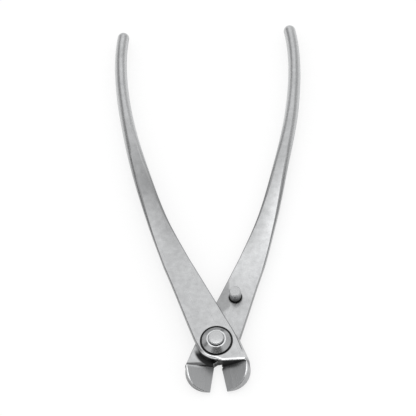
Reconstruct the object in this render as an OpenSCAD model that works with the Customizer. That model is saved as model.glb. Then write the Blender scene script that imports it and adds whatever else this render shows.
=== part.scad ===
// Long-handled nippers with round rod handles and bevelled jaws, lying flat and half open.
// Millimetres. The pivot axis is Z, the handles point along +Y and the jaws along -Y.
// Z = 0 is the flat end of the rivet's rear head, which the tool lies on.
// Every lever is laid out with its handle on the +X side; the front lever is the mirror image.

/* [Levers] */
// Thickness of each lever's flat plate
plate_t = 4; // [3.4:0.1:5]
// Radius of the round boss around the pivot
boss_r = 9.1; // [8.6:0.1:9.8]
// Gap between the two levers' flat faces
lap_play = 0.06; // [0.04:0.01:0.12]
// Distance from the pivot axis to the straight inner edge
inner_edge = 9.55; // [9:0.05:10.4]
// Lean of the inner edge from the centre line, in degrees
inner_lean = 26.3; // [25:0.1:28]
// Lean of the outer edge where it leaves the boss, in degrees
outer_lean = 21; // [18:0.5:24]
// Height above the pivot where the inner edge turns towards the jaw
waist_y = 1; // [0:0.5:3]

/* [Handles] */
// Diameter of the round rod
rod_d = 6.1; // [5.4:0.1:6.8]
// Sideways place of the rod's end
rod_end_x = 43.6; // [38:0.2:47]
// Length from the pivot axis to the centre of the rod's round end
rod_end_y = 182; // [160:0.5:200]
// Sideways pull of the bow in the rod
bow_x = 52.4; // [47:0.2:57]
// Place of the bow along the tool
bow_y = 128.8; // [118:0.2:138]
// Sideways pull of the plate's lean
lean_x = 16.3; // [15:0.1:18]
// Place of the plate's lean along the tool
lean_y = 31.9; // [29:0.1:35]
// Sideways start of the handle's centre line
root_x = 2.8; // [2:0.1:3.6]
// Start of the handle's centre line along the tool
root_y = 9.2; // [8:0.1:10.5]
// Width that the plate flares to at the start of its centre line
flare_w = 21.2; // [19.5:0.1:23]
// Width that pulls the taper in behind the flare
taper_w = 8.6; // [7.6:0.1:9.8]
// Width that pulls the last of the taper in to the rod
slim_w = 5.7; // [5.2:0.1:6.6]
// Rounding of the plate's long edges where the handle starts
edge_round = 0.4; // [0.2:0.05:0.8]

/* [Jaws] */
// Angle of each cutting edge from the centre line at rest, in degrees
half_open = 10; // [7:0.5:12]
// Radius of the jaw's round rim at its rear face
jaw_r = 10.6; // [9.8:0.1:11.4]
// Distance of the rim's centre from the centre line
jaw_x = 4.8; // [4:0.1:5.6]
// Distance of the rim's centre below the pivot axis
jaw_y = 12.2; // [11.4:0.1:13]
// How far the rim leans in from its rear face to its front face
rim_draft = 1.4; // [0.6:0.1:2]
// Distance from the cutting edge at which the bevel reaches the front face
bevel_reach = 11.5; // [10.4:0.1:12.5]
// Height of the flat left along the cutting edge
edge_land = 0.25; // [0.1:0.05:0.5]
// Distance below the pivot axis of the front jaw's ledge
ledge_y = 10.3; // [9.6:0.1:10.4]
// Distance below the pivot axis of the shoulder behind each full-height jaw
shoulder_y = 10.2; // [10:0.1:10.6]

/* [Pivot] */
// Diameter of the rivet's shank
shank_d = 6.4; // [5.6:0.1:7]
// Radial play of the front lever on the shank
shank_play = 0.05; // [0.02:0.01:0.09]
// Radial play of the washers on the shank
washer_play = 0.04; // [0.02:0.01:0.09]
// Diameter of the rivet's closed end
button_d = 7.4; // [7.2:0.1:7.8]
// Height of the rivet's closed end above the washer's lip
button_rise = 1.7; // [1:0.1:2.4]
// Crown of the rivet's closed end
button_crown = 0.35; // [0.1:0.05:0.6]
// Diameter of the washers
washer_d = 13.6; // [12.6:0.1:14.2]
// Diameter of the seats that the washers lie in
seat_d = 15.2; // [14.6:0.1:16]
// Depth of the seats
seat_depth = 0.5; // [0.3:0.05:0.8]
// Gap between the front washer and its seat, so that the front lever turns freely
seat_play = 0.04; // [0.02:0.01:0.1]
// Height of the front washer's rim above its seat
rim_h = 0.86; // [0.5:0.02:1.2]
// Height of the front washer's lip above its seat
lip_h = 2.8; // [2.2:0.1:3.4]
// Diameter of the front washer's lip
lip_d = 8.8; // [8.6:0.1:9.6]
// Gap between the rivet's closed end and the recess in the washer
recess_play = 0.25; // [0.1:0.05:0.3]
// Depth of the recess in the front washer
recess_depth = 1; // [0.6:0.1:1.6]
// Thickness of the rear washer
rear_washer_t = 1.3; // [0.9:0.1:1.8]
// Diameter of the rivet's rear head
head_d = 9.5; // [8.6:0.1:11]
// Thickness of the rivet's rear head
head_t = 1; // [0.6:0.1:1.6]
// Rounding of the rear head's edge
head_round = 0.4; // [0.2:0.05:0.55]

/* [Stop pin] */
// Diameter of the stop pin
pin_d = 5.6; // [4.6:0.1:6.4]
// Distance from the pivot axis to the stop pin's axis
pin_reach = 26.7; // [24:0.1:30]
// Height of the stop pin above the front lever's face
pin_rise = 1.75; // [0.8:0.05:3]
// Chamfer at the pin's front end
pin_chamfer = 0.45; // [0.2:0.05:0.8]
// Gap left between the stop pin and the front lever when the jaws are shut
stop_play = 0.05; // [0.03:0.01:0.1]
// Depth that the pin's rear end lies below the lever's rear face
pin_inset = 0.2; // [0.1:0.05:0.5]
// Width of the shallow countersink around the pin
sink_w = 1.1; // [0.6:0.1:1.6]
// Depth of the countersink around the pin
sink_depth = 0.3; // [0.1:0.05:0.6]

/* [Hidden] */

$fn = 96;
steel = [0.74, 0.74, 0.75];
bright_steel = [0.82, 0.82, 0.83];

// Levels along Z
rear_face = head_t + rear_washer_t - seat_depth;
mid = rear_face + plate_t;
front_face = mid + plate_t;
rear_seat = rear_face + seat_depth;
front_seat = front_face - seat_depth;
washer_foot = front_seat + seat_play;
lip_z = washer_foot + lip_h;
recess_floor = lip_z - recess_depth;
button_z = lip_z + button_rise;

// How far above the shoulder the cutting edge starts, so that shut jaws meet only along their edges
throat_lead = 0.05;
// Where a lever's plate ends and its swept handle starts, as a share of the centre line
plate_end = 0.285;
// Shares of the centre line over which the plate turns into the round rod
round_start = 0.3;
round_end = 0.8;
// How far the handle's skin starts inside the plate's skin, and how deep it is let in
weld = 0.03;
weld_depth = 0.8;
// Steps along the handle, around each corner of its section, and in its round end
handle_steps = 30;
corner_steps = 5;
dome_steps = 4;
// Room by which cutters reach past what they cut
past = 1;
reach = 60;

// Cubic Bezier curve and its direction of travel
function bezier(a, b, c, d, u) =
    a * pow(1 - u, 3) + b * 3 * u * pow(1 - u, 2) + c * 3 * u * u * (1 - u) + d * pow(u, 3);
function bezier_run(a, b, c, d, u) =
    (b - a) * pow(1 - u, 2) + (c - b) * 2 * u * (1 - u) + (d - c) * u * u;
function polar(r, angle) = [r * cos(angle), r * sin(angle)];
function arc(centre, r, from, to, steps) =
    [for (i = [0 : steps]) centre + polar(r, from + (to - from) * i / steps)];
function ease(x) = let (t = min(1, max(0, x))) t * t * (3 - 2 * t);

// Handle: centre line, its direction, its outward side and its width, from 0 at the root to 1
root = [root_x, root_y];
lean = [lean_x, lean_y];
bow = [bow_x, bow_y];
rod_end = [rod_end_x, rod_end_y];
function centre_at(u) = bezier(root, lean, bow, rod_end, u);
function travel_at(u) = let (v = bezier_run(root, lean, bow, rod_end, u)) v / norm(v);
function side_at(u) = let (v = travel_at(u)) [v.y, -v.x];
function width_at(u) = bezier(flare_w, taper_w, slim_w, rod_d, u);
function roundness_at(u) = ease((u - round_start) / (round_end - round_start));
function height_at(u) = plate_t - lap_play / 2 + (rod_d - plate_t + lap_play / 2) * roundness_at(u);
function corner_at(u) =
    edge_round + (0.48 * min(width_at(u), height_at(u)) - edge_round) * roundness_at(u);

// Head of a lever, seen from the front, as one closed outline
jaw_centre = [-jaw_x, -jaw_y];
edge_way = polar(1, -90 - half_open);
along_to_rim = edge_way * jaw_centre;
edge_end = along_to_rim + sqrt(jaw_r * jaw_r - pow(norm(jaw_centre), 2) + along_to_rim * along_to_rim);
edge_tip = edge_way * edge_end;
tip_angle = atan2(edge_tip.y - jaw_centre.y, edge_tip.x - jaw_centre.x) + 360;

outer_start = polar(boss_r, -outer_lean);
outer_way = polar(1, 90 - outer_lean);
outer_end = centre_at(plate_end) + side_at(plate_end) * width_at(plate_end) / 2;
inner_end = centre_at(plate_end) - side_at(plate_end) * width_at(plate_end) / 2;
outer_third = norm(outer_end - outer_start) / 3;

waist = [-(inner_edge - waist_y * sin(inner_lean)) / cos(inner_lean), waist_y];
waist_from_jaw = waist - jaw_centre;
rim_start = atan2(waist_from_jaw.y, waist_from_jaw.x) + acos(jaw_r / norm(waist_from_jaw));

head_outline = concat(
    arc([0, 0], boss_r, -90, -outer_lean, 16),
    [for (i = [1 : 10])
        bezier(outer_start, outer_start + outer_way * outer_third,
            outer_end - travel_at(plate_end) * outer_third, outer_end, i / 10)],
    [inner_end, waist],
    arc(jaw_centre, jaw_r, rim_start, tip_angle, 32),
    [edge_way * (shoulder_y - throat_lead) / cos(half_open)]
);

// Stop pin: it meets the front lever's straight inner edge as the cutting edges meet
inner_way = (inner_end - waist) / norm(inner_end - waist);
inner_gap = waist.y * inner_way.x - waist.x * inner_way.y;
stop_angle = atan2(inner_way.x, inner_way.y) - 2 * half_open
    + acos((inner_gap + pin_d / 2 + stop_play) / pin_reach);
pin_at = polar(pin_reach, stop_angle);

// Points of one handle section: a rectangle w by h with corners of radius c
function section(w, h, c) = [
    for (q = [0 : 3], i = [0 : corner_steps])
        let (a = 90 * q + 90 * i / corner_steps, sx = (q == 0 || q == 3) ? 1 : -1, sz = q < 2 ? 1 : -1)
            [sx * (w / 2 - c) + c * cos(a), sz * (h / 2 - c) + c * sin(a)]
];

// One ring of the handle: section points set across the centre line at p, centred at height z
function ring(p, side, z, pts) = [for (s = pts) [p.x + side.x * s.x, p.y + side.y * s.x, z + s.y]];
function ring_at(u, z0, back, shrink) =
    let (w = width_at(u) * shrink - 2 * weld, h = height_at(u) * shrink - 2 * weld * (1 - roundness_at(u)))
        ring(centre_at(u) + travel_at(u) * back, side_at(u), z0 + (mid - z0) * roundness_at(u),
            section(w, h, min(corner_at(u) * shrink, 0.48 * min(w, h))));

// Handle swept along its centre line from the plate, whose middle is at height z0, to a round end
module handle(z0) {
    dome = rod_d / 2;
    rings = concat(
        [ring_at(plate_end, z0, -weld_depth, 1)],
        [for (i = [1 : handle_steps]) ring_at(plate_end + (1 - plate_end) * i / handle_steps, z0, 0, 1)],
        [for (i = [1 : dome_steps])
            let (a = 84 * i / dome_steps) ring_at(1, z0, dome * sin(a), cos(a))]
    );
    n = len(rings[0]);
    last = len(rings) - 1;
    polyhedron(
        points = [for (r = rings) each r],
        faces = concat(
            [[for (i = [n - 1 : -1 : 0]) i]],
            [for (k = [0 : last - 1], i = [0 : n - 1], half = [0 : 1])
                let (a = k * n + i, b = k * n + (i + 1) % n)
                    half == 0 ? [a, b, a + n] : [b, b + n, a + n]],
            [[for (i = [0 : n - 1]) last * n + i]]
        ),
        convexity = 6
    );
}

module head_blank() {
    translate([0, 0, rear_face]) linear_extrude(2 * plate_t) polygon(head_outline);
}

// Everything above the line at distance wall_y below the pivot axis, from height z upwards by h
module lap(wall_y, z, h) {
    translate([-reach, -wall_y, z]) cube([2 * reach, 2 * reach, h]);
}

// Room over the ground bevel, in front of the wall at distance wall_y below the pivot axis
module bevel(wall_y) {
    slope = atan((2 * plate_t - edge_land) / bevel_reach);
    intersection() {
        translate([0, 0, rear_face + edge_land])
            rotate([0, 0, -half_open])
                rotate([0, slope, 0])
                    translate([-reach, -reach, 0]) cube([reach + past, 2 * reach, reach]);
        translate([-reach, -reach - wall_y, 0]) cube([2 * reach, reach, 2 * reach]);
    }
}

// Room outside the leaning rim of the jaw, in front of the same wall
module rim_room(wall_y) {
    difference() {
        translate([-reach, -reach - wall_y, rear_face - past])
            cube([2 * reach, reach, 2 * (plate_t + past)]);
        translate([jaw_centre.x, jaw_centre.y, rear_face - past])
            cylinder(
                h = 2 * (plate_t + past),
                r1 = jaw_r + rim_draft * past / (2 * plate_t),
                r2 = jaw_r - rim_draft * (1 + past / (2 * plate_t))
            );
    }
}

module drill(d, z, h) {
    translate([0, 0, z]) cylinder(h = h, d = d);
}

module rear_lever() {
    color(steel) union() {
        difference() {
            head_blank();
            lap(shoulder_y, mid - lap_play / 2, plate_t + past);
            bevel(shoulder_y);
            rim_room(shoulder_y);
            drill(shank_d, rear_face - past, 2 * plate_t);
            drill(seat_d, rear_face - past, past + seat_depth);
            translate(pin_at) drill(pin_d, rear_face - past, 2 * plate_t);
            translate([pin_at.x, pin_at.y, mid - lap_play / 2 - sink_depth])
                cylinder(h = sink_depth, d1 = pin_d, d2 = pin_d + 2 * sink_w);
        }
        handle(rear_face + plate_t / 2 - lap_play / 4);
    }
}

module front_lever() {
    color(steel) mirror([1, 0, 0]) union() {
        difference() {
            head_blank();
            lap(shoulder_y, rear_face - past, plate_t + past + lap_play / 2);
            bevel(ledge_y);
            rim_room(ledge_y);
            drill(shank_d + 2 * shank_play, mid - past, 2 * plate_t);
            drill(seat_d, front_seat, seat_depth + past);
        }
        handle(front_face - plate_t / 2 + lap_play / 4);
    }
}

// Rivet: rear head, plain shank, and the front end closed over inside the washer's recess
module pivot_rivet() {
    crown = 3;
    color(bright_steel) rotate_extrude() polygon(concat(
        [[0, 0], [head_d / 2 - head_round, 0]],
        arc([head_d / 2 - head_round, head_round], head_round, -90, 0, 6),
        [[head_d / 2, head_t], [shank_d / 2, head_t], [shank_d / 2, recess_floor],
            [button_d / 2, recess_floor]],
        [for (i = [crown : -1 : 0])
            [button_d / 2 * i / crown, button_z - button_crown * pow(i / crown, 2)]]
    ));
}

module front_washer() {
    hole = shank_d / 2 + washer_play;
    recess = button_d / 2 + recess_play;
    color(bright_steel) rotate_extrude() polygon([
        [hole, washer_foot],
        [washer_d / 2, washer_foot],
        [washer_d / 2, washer_foot + rim_h],
        [lip_d / 2, lip_z],
        [recess, lip_z],
        [recess, recess_floor],
        [hole, recess_floor]
    ]);
}

module rear_washer() {
    color(bright_steel) difference() {
        drill(washer_d, head_t, rear_washer_t);
        drill(shank_d + 2 * washer_play, 0, 2 * rear_washer_t + head_t);
    }
}

module stop_pin() {
    top = front_face + pin_rise;
    bottom = rear_face + pin_inset;
    color(bright_steel) translate(pin_at) rotate_extrude() polygon([
        [0, bottom],
        [pin_d / 2, bottom],
        [pin_d / 2, top - pin_chamfer],
        [pin_d / 2 - pin_chamfer, top],
        [0, top]
    ]);
}

rear_lever();
front_lever();
pivot_rivet();
front_washer();
rear_washer();
stop_pin();
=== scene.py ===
"""Long-handled steel nippers, half open on a pale floor.

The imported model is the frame: its boxes give the levels and the places of the pivot and the pin.
The two levers, the rivet, the washers and the pin are modelled here in millimetres and brought to
metres at the end, each on the body that carries it.
"""

import logging
import math
from dataclasses import dataclass, field
from enum import Enum
from functools import reduce
from typing import Callable, Sequence

import bmesh
import bpy
from mathutils import Matrix, Quaternion, Vector


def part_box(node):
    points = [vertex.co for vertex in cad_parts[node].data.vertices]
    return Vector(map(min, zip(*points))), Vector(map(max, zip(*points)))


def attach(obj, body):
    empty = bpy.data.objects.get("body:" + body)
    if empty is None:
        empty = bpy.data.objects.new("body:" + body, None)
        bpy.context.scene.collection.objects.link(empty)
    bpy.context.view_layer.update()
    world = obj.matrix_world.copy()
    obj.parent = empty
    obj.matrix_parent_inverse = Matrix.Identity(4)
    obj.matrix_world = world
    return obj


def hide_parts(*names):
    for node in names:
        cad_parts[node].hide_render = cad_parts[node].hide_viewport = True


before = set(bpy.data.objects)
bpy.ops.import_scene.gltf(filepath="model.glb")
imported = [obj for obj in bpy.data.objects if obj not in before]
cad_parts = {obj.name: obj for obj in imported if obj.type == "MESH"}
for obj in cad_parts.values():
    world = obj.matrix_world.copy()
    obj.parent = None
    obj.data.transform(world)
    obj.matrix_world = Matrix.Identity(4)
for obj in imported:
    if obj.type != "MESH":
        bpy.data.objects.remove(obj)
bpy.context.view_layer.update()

MM = 0.001
UP = Vector((0, 0, 1))
# A point far off in a skew direction, so that no two elements of a piece are equally far from it
SORT_POINT = Vector((131.0, -217.0, 93.0))
LOG = logging.getLogger("nippers")

Point = Sequence[float]


class Place(Enum):
    """Which of the two lapped levers a piece is: the value is the side its handle lies on."""

    REAR = 1
    FRONT = -1


# ---------------------------------------------------------------- small helpers


def smooth_step(value: float) -> float:
    """Ease from 0 to 1 between the same values of the input."""
    t = min(1.0, max(0.0, value))
    return t * t * (3 - 2 * t)


def between(value: float, start: float, end: float) -> float:
    """Share of the way from start to end, eased and held at both ends."""
    return smooth_step((value - start) / (end - start))


def mix(a: float, b: float, share: float) -> float:
    """Value that lies a share of the way from a to b."""
    return a + (b - a) * share


def bezier(controls: Sequence, u: float) -> float | Vector:
    """Value of a cubic Bezier curve, of numbers or of points, at a share of its way."""
    a, b, c, d = controls
    v = 1 - u
    return a * v**3 + b * 3 * u * v**2 + c * 3 * u**2 * v + d * u**3


def polar(radius: float, degrees: float) -> Vector:
    """Point in the plane at a radius and an angle."""
    angle = math.radians(degrees)
    return Vector((radius * math.cos(angle), radius * math.sin(angle)))


def node_box(node: str) -> tuple[Vector, Vector]:
    """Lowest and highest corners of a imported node, in millimetres."""
    low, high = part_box(node)
    return low / MM, high / MM


def deselect_all() -> None:
    """Clear the selection, so that an operator acts only on what is picked next."""
    bpy.ops.object.select_all(action="DESELECT")


def make_active(piece: bpy.types.Object) -> None:
    """Select one object alone and make it the active one."""
    deselect_all()
    piece.select_set(True)
    bpy.context.view_layer.objects.active = piece


def edit(piece: bpy.types.Object) -> None:
    """Open an object in edit mode."""
    make_active(piece)
    bpy.ops.object.mode_set(mode="EDIT")


def leave_edit() -> None:
    """Go back to object mode, which writes the edited mesh."""
    bpy.ops.object.mode_set(mode="OBJECT")


def pick(piece: bpy.types.Object, kind: str, test: Callable[..., bool]) -> int:
    """Select the vertices, edges or faces that pass a test, in edit mode.

    Args:
        piece: Object that is open in edit mode.
        kind: VERT, EDGE or FACE.
        test: Called with each BMVert, BMEdge or BMFace.

    Returns:
        Number of elements selected.
    """
    bpy.ops.mesh.select_mode(type=kind)
    bpy.ops.mesh.select_all(action="DESELECT")
    mesh = bmesh.from_edit_mesh(piece.data)
    elements = {"VERT": mesh.verts, "EDGE": mesh.edges, "FACE": mesh.faces}[kind]
    chosen = [e for e in elements if test(e)]
    for element in chosen:
        element.select_set(True)
    mesh.select_flush_mode()
    bmesh.update_edit_mesh(piece.data)
    return len(chosen)


def fold_angle(edge: bmesh.types.BMEdge) -> float:
    """Angle between the two faces of an edge in degrees, or 0 at an open edge."""
    if len(edge.link_faces) != 2:
        return 0.0
    first, second = edge.link_faces
    return math.degrees(first.normal.angle(second.normal, 0.0))


def carve(piece: bpy.types.Object, tool: bpy.types.Object) -> None:
    """Cut a tool away from a piece and use the tool up.

    The exact solver leaves the elements in an order that changes from run to run. They are put
    in a fixed order, because the steps that follow depend on it.

    Args:
        piece: Object to cut.
        tool: Closed object that is cut away and then removed.
    """
    make_active(piece)
    step = piece.modifiers.new("carve", "BOOLEAN")
    step.operation = "DIFFERENCE"
    step.object = tool
    step.solver = "EXACT"
    bpy.ops.object.modifier_apply(modifier=step.name)
    bpy.data.objects.remove(tool)
    bpy.context.scene.cursor.location = SORT_POINT
    edit(piece)
    bpy.ops.mesh.select_all(action="SELECT")
    bpy.ops.mesh.sort_elements(type="CURSOR_DISTANCE", elements={"VERT", "EDGE", "FACE"})
    leave_edit()


def drum(
    radius: float, low: float, high: float, at: Point = (0, 0), top: float | None = None
) -> bpy.types.Object:
    """Round cutting tool that stands along Z, a cone if its top has another radius.

    Args:
        radius: Radius at the foot, and at the top if none is given.
        low: Height of the foot.
        high: Height of the top.
        at: Place of the axis in plan.
        top: Radius at the top.

    Returns:
        The tool, in object mode.
    """
    deselect_all()
    bpy.ops.mesh.primitive_cone_add(
        vertices=96,
        radius1=radius,
        radius2=radius if top is None else top,
        depth=high - low,
        location=(at[0], at[1], (low + high) / 2),
    )
    return bpy.context.object


def shade(piece: bpy.types.Object, degrees: float = 40) -> None:
    """Shade smooth below an angle and let the broad faces set the normals at roundings."""
    make_active(piece)
    bpy.ops.object.shade_smooth_by_angle(angle=math.radians(degrees))
    step = piece.modifiers.new("normals", "WEIGHTED_NORMAL")
    step.keep_sharp = True
    step.weight = 80
    bpy.ops.object.modifier_apply(modifier=step.name)


def to_metres(piece: bpy.types.Object, name: str) -> None:
    """Name a piece that was modelled in millimetres and bring its mesh to metres at the origin."""
    piece.name = name
    piece.data.name = name
    make_active(piece)
    piece.scale = (MM, MM, MM)
    bpy.ops.object.transform_apply(location=True, rotation=True, scale=True)


def point_outwards(piece: bpy.types.Object) -> None:
    """Merge doubles and turn every face outwards."""
    edit(piece)
    bpy.ops.mesh.select_all(action="SELECT")
    bpy.ops.mesh.remove_doubles(threshold=0.002)
    bpy.ops.mesh.normals_make_consistent(inside=False)
    leave_edit()


class Scriber:
    """Draws a closed outline in plan with a single vertex that is extruded and spun."""

    axis = UP

    def __init__(self, start: Point, level: float = 0.0) -> None:
        """Put the vertex at its start.

        Args:
            start: First point of the outline.
            level: Height at which the outline lies.
        """
        self.level = level
        self.at = Vector(start)
        deselect_all()
        bpy.ops.mesh.primitive_plane_add(size=1, location=(0, 0, 0))
        self.piece = bpy.context.object
        bpy.ops.object.mode_set(mode="EDIT")
        bpy.ops.mesh.select_mode(type="VERT")
        bpy.ops.mesh.select_all(action="SELECT")
        bpy.ops.mesh.merge(type="CENTER")
        bpy.ops.transform.translate(value=self.place(self.at))

    def place(self, point: Point) -> Vector:
        """Where a point of the outline lies in space."""
        return Vector((point[0], point[1], self.level))

    def line(self, to: Point) -> None:
        """Draw a straight line to a point."""
        end = Vector((to[0], to[1]))
        step = self.place(end) - self.place(self.at)
        bpy.ops.mesh.extrude_region_move(TRANSFORM_OT_translate={"value": step})
        self.at = end

    def arc(self, centre: Point, turn: float, steps: int) -> None:
        """Spin round a centre by an angle in degrees, counter-clockwise if positive."""
        # The operator turns clockwise for a positive angle.
        angle = -math.radians(turn)
        bpy.ops.mesh.spin(steps=steps, angle=angle, center=self.place(centre), axis=self.axis)
        hub = Vector((centre[0], centre[1]))
        self.at = hub + Matrix.Rotation(math.radians(turn), 2) @ (self.at - hub)

    def bend(self, corner: Point, onward: Point, radius: float, steps: int = 4) -> None:
        """Draw up to a corner and round it towards the next point.

        Args:
            corner: The sharp corner.
            onward: Any point of the line that leaves the corner.
            radius: Radius of the rounding.
            steps: Straight steps in the rounding.
        """
        tip = Vector((corner[0], corner[1]))
        back = (self.at - tip).normalized()
        ahead = (Vector((onward[0], onward[1])) - tip).normalized()
        half = back.angle(ahead) / 2
        turn = math.copysign(180 - 2 * math.degrees(half), ahead.x * back.y - ahead.y * back.x)
        self.line(tip + back * (radius / math.tan(half)))
        self.arc(tip + (back + ahead).normalized() * (radius / math.sin(half)), turn, steps)

    def close(self) -> bpy.types.Object:
        """Fill the outline with one face and return its object, in object mode."""
        bpy.ops.mesh.select_all(action="SELECT")
        bpy.ops.mesh.remove_doubles(threshold=0.001)
        bpy.ops.mesh.edge_face_add()
        leave_edit()
        return self.piece


class Lathe(Scriber):
    """Draws a profile, radius by height, and turns it about an upright axis."""

    axis = Vector((0, -1, 0))

    def place(self, point: Point) -> Vector:
        """Where a point of the profile lies in space."""
        return Vector((point[0], 0, point[1]))

    def turn(self, at: Point = (0, 0), steps: int = 96) -> bpy.types.Object:
        """Spin the profile once round and move it over a point of the plan.

        Args:
            at: Place of the axis in plan.
            steps: Number of steps in the turn.

        Returns:
            The turned piece, in object mode.
        """
        bpy.ops.mesh.select_all(action="SELECT")
        bpy.ops.mesh.spin(steps=steps, angle=math.tau, center=(0, 0, 0), axis=UP)
        bpy.ops.mesh.select_all(action="SELECT")
        bpy.ops.mesh.remove_doubles(threshold=0.002)
        bpy.ops.mesh.normals_make_consistent(inside=False)
        bpy.ops.transform.translate(value=(at[0], at[1], 0))
        leave_edit()
        return self.piece


def draw_curve(draw: Scriber, a: Vector, b: Vector, c: Vector, d: Vector, steps: int) -> None:
    """Draw a cubic Bezier curve from the scriber's place, a, to d in short straight lines."""
    for i in range(1, steps + 1):
        draw.line(bezier((a, b, c, d), i / steps))


# ---------------------------------------------------------------- sizes from the frame

LEVER_LOW, LEVER_HIGH = node_box("rear_lever")
WASHER_LOW, WASHER_HIGH = node_box("front_washer")
REAR_WASHER_LOW, REAR_WASHER_HIGH = node_box("rear_washer")
RIVET_LOW, RIVET_HIGH = node_box("pivot_rivet")
PIN_LOW, PIN_HIGH = node_box("stop_pin")


@dataclass(frozen=True)
class Levels:
    """Heights at which the lapped plates begin and end, in millimetres."""

    rear: float = LEVER_LOW.z
    front: float = LEVER_HIGH.z
    play: float = 0.06

    @property
    def mid(self) -> float:
        """Middle of the gap between the two plates."""
        return (self.rear + self.front) / 2

    @property
    def plate(self) -> float:
        """Thickness of one plate."""
        return self.mid - self.rear - self.play / 2


# ---------------------------------------------------------------- handles


@dataclass(frozen=True)
class Section:
    """Section across a handle: a rectangle with round corners that can become a circle."""

    width: float
    height: float
    corner: float
    side_steps: int = 3
    face_steps: int = 5
    corner_steps: int = 4

    @property
    def count(self) -> int:
        """Number of points round the section."""
        return 2 * (self.side_steps + self.face_steps) + 4 * self.corner_steps

    def lengths(self) -> tuple[float, float, float]:
        """Lengths of one flat side, one flat face and one corner."""
        side = self.height - 2 * self.corner
        face = self.width - 2 * self.corner
        return side, face, math.pi * self.corner / 2

    def girth(self) -> float:
        """Length all round."""
        side, face, corner = self.lengths()
        return 2 * (side + face) + 4 * corner

    def point(self, run: float) -> Vector:
        """Point of the section at a distance round it.

        Args:
            run: Distance from the middle of the outer side, towards the front.

        Returns:
            The point, across and up from the middle of the section.
        """
        side, face, corner = self.lengths()
        run = (run + side / 2) % self.girth()
        across, up = self.width / 2 - self.corner, self.height / 2 - self.corner
        right, top = self.width / 2, self.height / 2
        corners = [(across, up), (-across, up), (-across, -up), (across, -up)]
        ways = [(0, 1), (-1, 0), (0, -1), (1, 0)]
        starts = [(right, -up), (across, top), (-right, up), (-across, -top)]
        for turn in range(4):
            flat = side if turn % 2 == 0 else face
            if run <= flat:
                return Vector(starts[turn]) + Vector(ways[turn]) * run
            run -= flat
            if run <= corner or turn == 3:
                angle = 90 * turn + 90 * min(1.0, run / corner)
                return Vector(corners[turn]) + polar(self.corner, angle)
            run -= corner
        return Vector(starts[0])

    def points(self, evenness: float) -> list[Vector]:
        """Points round the section.

        Args:
            evenness: 0 keeps points at the ends of every flat, 1 spaces them evenly.

        Returns:
            As many points as count says, starting at the rear end of the outer side.
        """
        side, face, corner = self.lengths()
        kept, run = [], -side / 2
        for turn in range(4):
            flat, steps = (side, self.side_steps) if turn % 2 == 0 else (face, self.face_steps)
            kept += [run + flat * i / steps for i in range(steps)]
            run += flat
            kept += [run + corner * i / self.corner_steps for i in range(self.corner_steps)]
            run += corner
        pitch = self.girth() / self.count
        even = [(i - self.side_steps / 2) * pitch for i in range(self.count)]
        return [self.point(mix(place, spaced, evenness)) for place, spaced in zip(kept, even)]


@dataclass(frozen=True)
class HandleLine:
    """Centre line of a handle, from its root in the plate (0) to its round end (1).

    Root, lean, bow and end are the control points of the curve, and the widths run along it in
    the same way. Sway and swell are what the hammer and the belt left at two places.
    """

    root: tuple[float, float] = (2.8, 9.2)
    lean: tuple[float, float] = (16.3, 31.9)
    bow: tuple[float, float] = (52.29, 128.8)
    end: tuple[float, float] = (43.6, 181.9)
    widths: tuple[float, float, float, float] = (21.2, 8.6, 5.7, 6.1)
    sway: tuple[float, float] = (0.35, 0.05)
    swell: tuple[float, float] = (-0.25, 0.45)
    rod: float = 6.1
    plate_end: float = 0.285
    round_start: float = 0.3
    round_end: float = 0.8
    edge_round: float = 0.4
    work_at: tuple[float, float, float, float] = (0.29, 0.41, 0.57, 0.73)

    def hand_work(self, pair: tuple[float, float], u: float) -> float:
        """Small change that hammer and belt left in the shank.

        Args:
            pair: Change in millimetres at the second and third of the places in work_at.
            u: Share of the centre line.

        Returns:
            The change there; none before the first place and none beyond the last.
        """
        start, first, second, end = self.work_at
        over = between(u, first, second)
        lower = pair[0] * between(u, start, first) * (1 - over)
        return lower + pair[1] * over * (1 - between(u, second, end))

    def centre(self, u: float) -> Vector:
        """Point of the centre line."""
        drawn = bezier([Vector(p) for p in (self.root, self.lean, self.bow, self.end)], u)
        return drawn + self.side(u) * self.hand_work(self.sway, u)

    def travel(self, u: float) -> Vector:
        """Direction of the centre line, of length one."""
        a, b, c, d = (Vector(p) for p in (self.root, self.lean, self.bow, self.end))
        v = 1 - u
        return ((b - a) * v**2 + (c - b) * 2 * u * v + (d - c) * u**2).normalized()

    def side(self, u: float) -> Vector:
        """Direction across the handle to its outer side, of length one."""
        way = self.travel(u)
        return Vector((way.y, -way.x))

    def width(self, u: float) -> float:
        """Width of the handle."""
        return bezier(self.widths, u) + self.hand_work(self.swell, u)

    def roundness(self, u: float) -> float:
        """How far the plate has turned into the rod."""
        return between(u, self.round_start, self.round_end)

    def section(self, u: float, plate: float) -> Section:
        """Section at a share of the centre line, for a plate of the given thickness."""
        turned = self.roundness(u)
        width, height = self.width(u), mix(plate, self.rod, turned)
        return Section(width, height, mix(self.edge_round, min(width, height) / 2, turned))


# The rear lever's handle came out a little shorter and slimmer under the hammer.
REAR_LINE = HandleLine(end=(43.55, 180.9), sway=(0.1, -0.5), swell=(-0.75, -0.65))


# ---------------------------------------------------------------- levers


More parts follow.
